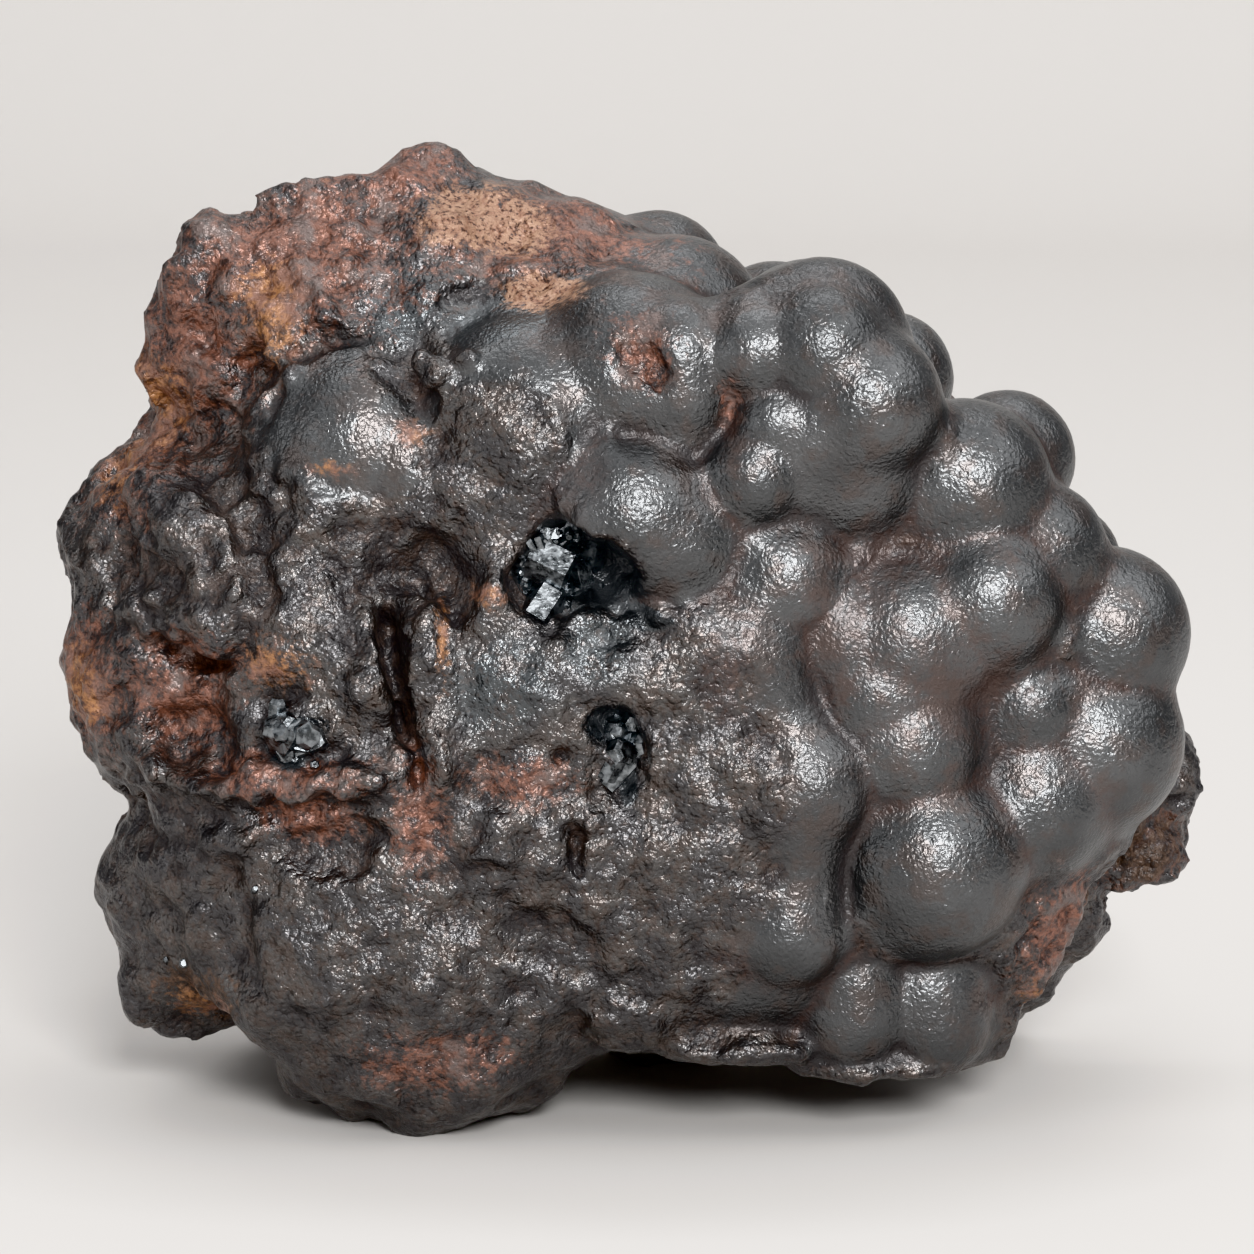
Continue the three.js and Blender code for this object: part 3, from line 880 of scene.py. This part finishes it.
# Cells, each by its size across.
GRAIN = 0.5
FLAKE = 1.7
HAMMERED = 0.8
BEND = 0.5  # how far the cells of grain and flake are bent
# Stains: how much a patch counts beside the mottling, and the levels between which the stain sets in.
STAIN_LEVELS = {
    "dust": (0.2, 0.42, 0.7),
    "blue": (0.3, 0.44, 0.6),
    "rust": (0.22, 0.42, 0.66),
    "brown": (0.3, 0.48, 0.62),
    "orange": (0.24, 0.46, 0.7),
    "tan": (0.4, 0.46, 0.66),
    "black": (0.5, 0.45, 0.6),
}
MOTTLING = {"fine": 0.62, "coarse": 0.38}
DUST_SHARE = 0.45  # how much dust hides what lies under it
RUST_SHARE = 0.8
RUST_EARTH = 0.6  # how earthy rust looks
PAINTED_SHADE_COLOUR = "#2a2627"
DUST = "#54413b"
BLUISH = "#66696b"
WARM = "#665750"
GLASSY = "#4c4e50"
ROUGHNESS = 0.34
EARTHY_ROUGHNESS = 0.42
GLASSY_ROUGHNESS = 0.3
METALLIC = (0.92, 0.16)  # bare, and under an earthy stain

material, tree = new_material("hematite")
place = add_node(tree, "ShaderNodeTexCoord", {}, "Object")


def per(millimetres):
    """The scale of a pattern whose forms are this many millimetres across."""
    return 1 / (millimetres * MM)


def noise_of(across, detail, roughness=0.55, distortion=0.0):
    """Inputs of a noise whose swells are this many millimetres across."""
    return {
        "Vector": place,
        "Scale": per(across),
        "Detail": detail,
        "Roughness": roughness,
        "Distortion": distortion,
    }


def levels_of(value, low, high, to_low=0.0, to_high=1.0):
    """Inputs that turn one range of a value into another."""
    return {"Value": value, "From Min": low, "From Max": high, "To Min": to_low, "To Max": to_high}


skin = add_node(tree, "ShaderNodeAttribute", {}, "Fac", attribute_name="skin")
recess = add_node(tree, "ShaderNodeAttribute", {}, "Fac", attribute_name="recess")
crease = add_node(tree, "ShaderNodeAttribute", {}, "Fac", attribute_name="crease")
noises = {}
for name, settings in NOISES.items():
    output = "Color" if name == "warp" else "Fac"
    noises[name] = add_node(tree, "ShaderNodeTexNoise", noise_of(*settings), output)
bent = {0: noises["warp"], 1: (BEND * MM,) * 3, 2: place}
bent = add_node(tree, "ShaderNodeVectorMath", bent, operation="MULTIPLY_ADD")
grains = add_node(tree, "ShaderNodeTexVoronoi", {"Vector": bent, "Scale": per(GRAIN)}, "Distance")

# How much of each stain shows: its patch, broken up by the mottling.
mottle = 0.0
for name, share in MOTTLING.items():
    terms = {0: noises[name], 1: share, 2: mottle}
    mottle = add_node(tree, "ShaderNodeMath", terms, operation="MULTIPLY_ADD")
covers = {}
for name, (share, low, high) in STAIN_LEVELS.items():
    patch = add_node(tree, "ShaderNodeAttribute", {}, "Fac", attribute_name=name)
    level = add_node(tree, "ShaderNodeMath", {0: patch, 1: share, 2: mottle}, operation="MULTIPLY_ADD")
    covers[name] = add_node(tree, "ShaderNodeMapRange", levels_of(level, low, high), **SMOOTH_STEP)

# Each paint is a ground and its coats: the pattern that a coat follows, the levels of the pattern between
# which it sets in or ends, how much of it there is at these two, and its colour.
fine, coarse, broad, pores = (noises[name] for name in ("fine", "coarse", "broad", "pores"))
PAINTS = {
    # The break's second coat darkens the gaps between its grains: painted shade in the small pits.
    "break": ("#5f5e5f", [(coarse, 0.4, 0.62, 0, 1, "#6d6b6a"), (grains, 0.5, 0.85, 0, 0.3, "#2b2626")]),
    "skin": ("#606162", [(broad, 0.4, 0.65, 0, 1, "#6b6c6d"), (coarse, 0.46, 0.66, 0, 0.5, "#685e5a")]),
    "rust": ("#5c443d", [(fine, 0.38, 0.62, 0, 1, "#946a5b"), (coarse, 0.48, 0.66, 0, 1, "#796b67")]),
    "brown": ("#211c1a", [(fine, 0.35, 0.65, 0, 1, "#5f4e44")]),
    "orange": ("#6f5040", [(fine, 0.4, 0.62, 0, 1, "#a67a58"), (coarse, 0.45, 0.62, 0, 1, "#86665a")]),
    "tan": ("#84604f", [(fine, 0.36, 0.6, 0, 1, "#a3836e"), (pores, 0.36, 0.48, 1, 0, "#49332b")]),
}
paints = {}
for name, (ground, coats) in PAINTS.items():
    colour = linear(ground)
    for *levels, coat in coats:
        amount = add_node(tree, "ShaderNodeMapRange", levels_of(*levels), **SMOOTH_STEP)
        layers = {0: amount, 6: colour, 7: linear(coat)}
        colour = add_node(tree, "ShaderNodeMix", layers, 2, **COLOUR_MIX)
    paints[name] = colour

# Painted shade darkens the recesses, dust lies in creases too, and a break has a warm cast in places.
painted_shade = add_node(tree, "ShaderNodeMapRange", levels_of(recess, 0.3, 1.4, 0, 0.72), **SMOOTH_STEP)
settled = add_node(tree, "ShaderNodeMapRange", levels_of(fine, 0.3, 0.7, 0.1, 0.6), **SMOOTH_STEP)
settled = add_node(tree, "ShaderNodeMath", {0: crease, 1: settled}, operation="MULTIPLY")
dust = add_node(tree, "ShaderNodeMath", {0: covers["dust"], 1: DUST_SHARE}, operation="MULTIPLY")
dust = add_node(tree, "ShaderNodeMath", {0: dust, 1: settled}, operation="MAXIMUM")
warm = add_node(tree, "ShaderNodeMapRange", levels_of(mottle, 0.46, 0.6, 0, 0.4), **SMOOTH_STEP)
warm = add_node(tree, "ShaderNodeMapRange", levels_of(skin, 0, 1, warm, 0))
rust = add_node(tree, "ShaderNodeMath", {0: covers["rust"], 1: RUST_SHARE}, operation="MULTIPLY")
colour = paints["break"]
# The coats in order; the dark one over recesses is painted shade.
for amount, coat in (
    (skin, paints["skin"]),
    (painted_shade, linear(PAINTED_SHADE_COLOUR)),
    (dust, linear(DUST)),
    (covers["blue"], linear(BLUISH)),
    (warm, linear(WARM)),
    (rust, paints["rust"]),
    (covers["brown"], paints["brown"]),
    (covers["orange"], paints["orange"]),
    (covers["tan"], paints["tan"]),
    (covers["black"], linear(GLASSY)),
):
    colour = add_node(tree, "ShaderNodeMix", {0: amount, 6: colour, 7: coat}, 2, **COLOUR_MIX)
earthy = add_node(tree, "ShaderNodeMath", {0: covers["rust"], 1: RUST_EARTH}, operation="MULTIPLY")
for cover in (covers["brown"], covers["orange"], covers["tan"], dust, painted_shade):
    earthy = add_node(tree, "ShaderNodeMath", {0: earthy, 1: cover}, operation="MAXIMUM")

# Relief. The skin is puckered and hammered. A break is made of flakes, each a small plane with its own
# tilt, crossed by fine curved ridges, with grains and lumps.
hammered = {"Vector": place, "Scale": per(HAMMERED)}
hammered = add_node(tree, "ShaderNodeTexVoronoi", hammered, "Distance")
cells = add_node(tree, "ShaderNodeTexVoronoi", {"Vector": bent, "Scale": per(FLAKE)}, None).outputs
offset = {0: bent, 1: cells["Position"]}
offset = add_node(tree, "ShaderNodeVectorMath", offset, operation="SUBTRACT")
tilt = {0: cells["Color"], 1: (0.5,) * 3}
tilt = add_node(tree, "ShaderNodeVectorMath", tilt, operation="SUBTRACT")
flake = add_node(tree, "ShaderNodeVectorMath", {0: offset, 1: tilt}, "Value", operation="DOT_PRODUCT")
flake = add_node(tree, "ShaderNodeMath", {0: flake, 1: 1 / MM}, operation="MULTIPLY")
ridges = add_node(tree, "ShaderNodeMath", {0: noises["stroke"], 1: 0.5}, operation="SUBTRACT")
ridges = add_node(tree, "ShaderNodeMath", {0: ridges}, operation="ABSOLUTE")
domes = add_node(tree, "ShaderNodeMath", {0: grains, 1: grains}, operation="MULTIPLY")
# How strongly each form shows in the relief, in millimetres.
FORMS = {
    "skin": [(noises["pucker"], 0.145), (noises["swell"], 0.03), (hammered, 0.04)],
    "break": [(flake, 0.34), (domes, -0.1), (ridges, -0.22), (noises["lump"], 0.5), (noises["grit"], 0.05)],
}
heights = {}
for name, forms in FORMS.items():
    height = 0.0
    for form, amount in forms:
        terms = {0: form, 1: amount, 2: height}
        height = add_node(tree, "ShaderNodeMath", terms, operation="MULTIPLY_ADD")
    heights[name] = height
height = add_node(tree, "ShaderNodeMix", {0: skin, 2: heights["break"], 3: heights["skin"]})
relief = add_node(tree, "ShaderNodeBump", {"Height": height, "Strength": 1.0, "Distance": MM})

roughness = ROUGHNESS
for cover, rough in (
    (earthy, EARTHY_ROUGHNESS),
    (covers["blue"], GLASSY_ROUGHNESS),
    (covers["black"], GLASSY_ROUGHNESS),
):
    roughness = add_node(tree, "ShaderNodeMix", {0: cover, 2: roughness, 3: rough})
metallic = add_node(tree, "ShaderNodeMapRange", levels_of(earthy, 0, 1, *METALLIC))
finish = {"Base Color": colour, "Roughness": roughness, "Metallic": metallic, "Normal": relief}
shader = add_node(tree, "ShaderNodeBsdfPrincipled", finish)
add_node(tree, "ShaderNodeOutputMaterial", {"Surface": shader})
mass.data.materials.clear()
mass.data.materials.append(material)
mass.data.polygons.foreach_set("material_index", np.zeros(len(mass.data.polygons), np.int32))
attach(mass, "root")
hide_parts("hematite_mass")

# ---------------------------------------------------------------- the crystal crust of the vug
# A thin druse that grew on the walls of the hollow: black six-sided crystals of specular hematite, each
# with a few mirror-flat faces. Larger ones stand in its mouth. Sizes and places are in millimetres.

# The hollow: centre, half axes, turn about X, Y and Z in degrees.
VUG = [
    ((-1.5, -28, 57.8), (7.2, 11.2, 6.4), (0, 20, 0)),
    ((-8, -27, 56.4), (5.2, 7.7, 5.2), (0, -15, 0)),
    ((2.4, -26.5, 53.4), (4.8, 6.7, 4.6), (0, 30, 0)),
]
VUG_MIDDLE = (-2, -24, 56.5)
VUG_VOXEL = 0.5
CRUST_MOUTH = -23  # y at which the crust ends
CRUST_THICKNESS = 1.1
CRUST_CHIP = 1.4
CRUST_SLOPE = 0.4
CRUST_RELIEF = 0.5  # share of what the slope gives
TIP_STEP = 0.3  # how far a crystal's tip is stepped in, in half widths
TIP_HEIGHT = 0.35
DRUSE_SEED = 11
DRUSE_COUNT = 330
DRUSE_SIZES = (0.25, 0.65)  # half width of a crystal
DRUSE_LEAN = 0.7  # most a crystal leans from its seat, in radians about each axis
LENGTHS = (0.6, 1.6)  # of a crystal, in widths
# Larger crystals: centre, half width, half length, where the middle of a side faces, and the lean of its
# long axis in degrees.
LARGE_CRYSTALS = [
    ((-8.2, -22.2, 57.2), 2.4, 2, (0.05, -0.86, 0.51), 62),
    ((-9, -23.6, 53.2), 2, 1.7, (0.1, -0.86, 0.5), -34),
    ((-5.4, -20.6, 55), 1.5, 1.8, (0.5, -0.8, 0), 15),
    ((-4.2, -20.4, 57.8), 1.2, 1.4, (-0.4, -0.8, -0.3), -20),
    ((-11.6, -21.4, 55.4), 1.1, 1.2, (0.6, -0.7, 0.5), 40),
]


def add_crystal(radius, half_length):
    """A six-sided crystal along Z with a stepped, bevelled tip, at the origin."""
    bpy.ops.mesh.primitive_cylinder_add(vertices=6, radius=radius * MM, depth=2 * half_length * MM)
    bpy.ops.object.mode_set(mode="EDIT")
    bpy.ops.mesh.select_mode(type="FACE")
    bpy.ops.mesh.select_all(action="DESELECT")
    mesh = bmesh.from_edit_mesh(bpy.context.object.data)
    for face in mesh.faces:
        face.select_set(face.normal.z > 0.9)
    bmesh.update_edit_mesh(bpy.context.object.data)
    bpy.ops.mesh.inset(thickness=TIP_STEP * radius * MM)
    bpy.ops.transform.translate(value=(0, 0, TIP_HEIGHT * radius * MM))
    bpy.ops.object.mode_set(mode="OBJECT")
    return bpy.context.object


def stand(thing, place, turn):
    """Turns and moves a piece's mesh, so its object stays at the origin."""
    thing.data.transform(Matrix.Translation(Vector(place) * MM) @ turn.to_matrix().to_4x4())


def scatter(seats, sizes, lean, draw):
    """A crystal on each seat, which is a place and a direction."""
    crystal = add_crystal(1, 1)
    copies = []
    for place, way in seats:
        size = draw.uniform(*sizes)
        copy = bpy.data.objects.new("crystal", crystal.data.copy())
        bpy.context.collection.objects.link(copy)
        copy.data.transform(Matrix.Diagonal((size, size, size * draw.uniform(*LENGTHS), 1)))
        turn = way.to_track_quat("Z", "Y") @ Euler(draw.uniform(-lean, lean, 3)).to_quaternion()
        stand(copy, place, turn)
        copies.append(copy)
    bpy.data.objects.remove(crystal)
    return copies


lining = join_all([add_ball(*spec) for spec in VUG], "vug_crust")
apply_modifier(lining, "REMESH", mode="VOXEL", voxel_size=VUG_VOXEL * MM)
bpy.ops.object.mode_set(mode="EDIT")
bpy.ops.mesh.select_all(action="SELECT")
bpy.ops.mesh.bisect(plane_co=(0, CRUST_MOUTH * MM, 0), plane_no=(0, -1, 0), clear_outer=True)
bpy.ops.object.mode_set(mode="OBJECT")
apply_modifier(lining, "SOLIDIFY", thickness=CRUST_THICKNESS * MM, offset=-1)
points = points_of(lining)
facets, _ = chips(points, CRUST_CHIP, CRUST_SLOPE)
points += normals_of(lining) * (CRUST_RELIEF * facets)[:, None]
set_points(lining, points)

# Seats for the druse: faces of the inner wall, whose normals look into the hollow.
hollow = Vector(VUG_MIDDLE) * MM
inner = [face for face in lining.data.polygons if (hollow - face.center).dot(face.normal) > 0]
draw = np.random.default_rng(DRUSE_SEED)
chosen = [inner[i] for i in draw.choice(len(inner), DRUSE_COUNT, replace=False)]
crystals = scatter([(face.center / MM, face.normal) for face in chosen], DRUSE_SIZES, DRUSE_LEAN, draw)
for centre, radius, half_length, faces, lean in LARGE_CRYSTALS:
    crystal = add_crystal(radius, half_length)
    side = Vector(faces).normalized()
    along = side.cross(Vector((0, 0, 1))).cross(side)
    along = (Matrix.Rotation(math.radians(lean), 3, side) @ along).normalized()
    axes = Matrix((side.cross(along), side, along)).transposed()
    # The prism has a corner on its Y axis, and a turn by half a side brings a side there instead.
    turn = axes.to_quaternion() @ Euler((0, 0, math.radians(30))).to_quaternion()
    stand(crystal, centre, turn)
    crystals.append(crystal)
crust = join_all([lining, *crystals], "vug_crust")
bpy.ops.object.shade_flat()

# Strays outside the vug: a group on a ledge, one in the glassy hollow, and single ones that catch the
# light. Each sits on the surface of the mass, found from the front by its x and z.
GROUPS = [((-32.3, 41.3), (3, 2.4), 18), ((-1.7, 40.4), (1.9, 3.8), 20)]  # middle, half size and count
GROUP_SIZES = (0.8, 1.5)
GROUP_SPREAD = (0.2, 1)  # how far out a crystal sits, in half sizes
GROUP_LEAN = 1
GROWN_TOWARDS = Vector((0.4, -0.5, 0.8))
SUNK = 0.9  # how deep the crystals of a group are set into the surface
BRIGHT = [(-36.6, 25.9), (-46.3, 16.2), (-44.4, 16.4), (-30.6, 38.6), (-32.6, 39)]
BRIGHT_SIZES = (0.3, 0.5)
BRIGHT_LEAN = 0.22
TOWARDS_LIGHT = Vector((0.09, -0.94, 0.32))


def on_surface(x, z):
    """The foremost point of the mass at this x and z."""
    _, place, _, _ = mass.ray_cast(Vector((x * MM, -0.1, z * MM)), Vector((0, 1, 0)))
    return place / MM


spots = []
for middle, half_size, count in GROUPS:
    offsets = half_size * draw.uniform(-1, 1, (count, 2)) * draw.uniform(*GROUP_SPREAD, (count, 1))
    spots += list(middle + offsets)
seats = [(on_surface(*spot) + Vector((0, SUNK, 0)), GROWN_TOWARDS) for spot in spots]
strays = scatter(seats, GROUP_SIZES, GROUP_LEAN, draw)
seats = [(on_surface(*spot), TOWARDS_LIGHT) for spot in BRIGHT]
strays += scatter(seats, BRIGHT_SIZES, BRIGHT_LEAN, draw)
strays = join_all(strays, "stray_crystals")
bpy.ops.object.shade_flat()

# Specular hematite: black mirror faces with a steel-blue cast, faintly stepped by growth.
MIRROR = "#545759"
STEEL_BLUE = "#94989b"
GROWTH = (0.8, 3)  # across, and octaves
GROWTH_STEP = (0.35, 2)
GROWTH_HEIGHT = 0.06
MIRROR_ROUGHNESS = (0.22, 0.42)
material, tree = new_material("specular_hematite")
place = add_node(tree, "ShaderNodeTexCoord", {}, "Object")
growth = add_node(tree, "ShaderNodeTexNoise", noise_of(*GROWTH), "Fac")
height = add_node(tree, "ShaderNodeTexNoise", noise_of(*GROWTH_STEP), "Fac")
relief = {"Height": height, "Strength": 1.0, "Distance": GROWTH_HEIGHT * MM}
blueness = add_node(tree, "ShaderNodeMapRange", levels_of(growth, 0.35, 0.65), **SMOOTH_STEP)
layers = {0: blueness, 6: linear(MIRROR), 7: linear(STEEL_BLUE)}
roughness = levels_of(growth, 0.3, 0.7, *MIRROR_ROUGHNESS)
finish = {
    "Base Color": add_node(tree, "ShaderNodeMix", layers, 2, **COLOUR_MIX),
    "Roughness": add_node(tree, "ShaderNodeMapRange", roughness, **SMOOTH_STEP),
    "Metallic": 1.0,
    "Normal": add_node(tree, "ShaderNodeBump", relief),
}
shader = add_node(tree, "ShaderNodeBsdfPrincipled", finish)
add_node(tree, "ShaderNodeOutputMaterial", {"Surface": shader})
for piece in (crust, strays):
    piece.data.materials.clear()
    piece.data.materials.append(material)
    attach(piece, "root")
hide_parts("vug_crystal_crust")

size = {"cad": [list(corner) for corner in cad_box], "visual": [list(corner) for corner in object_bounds()]}
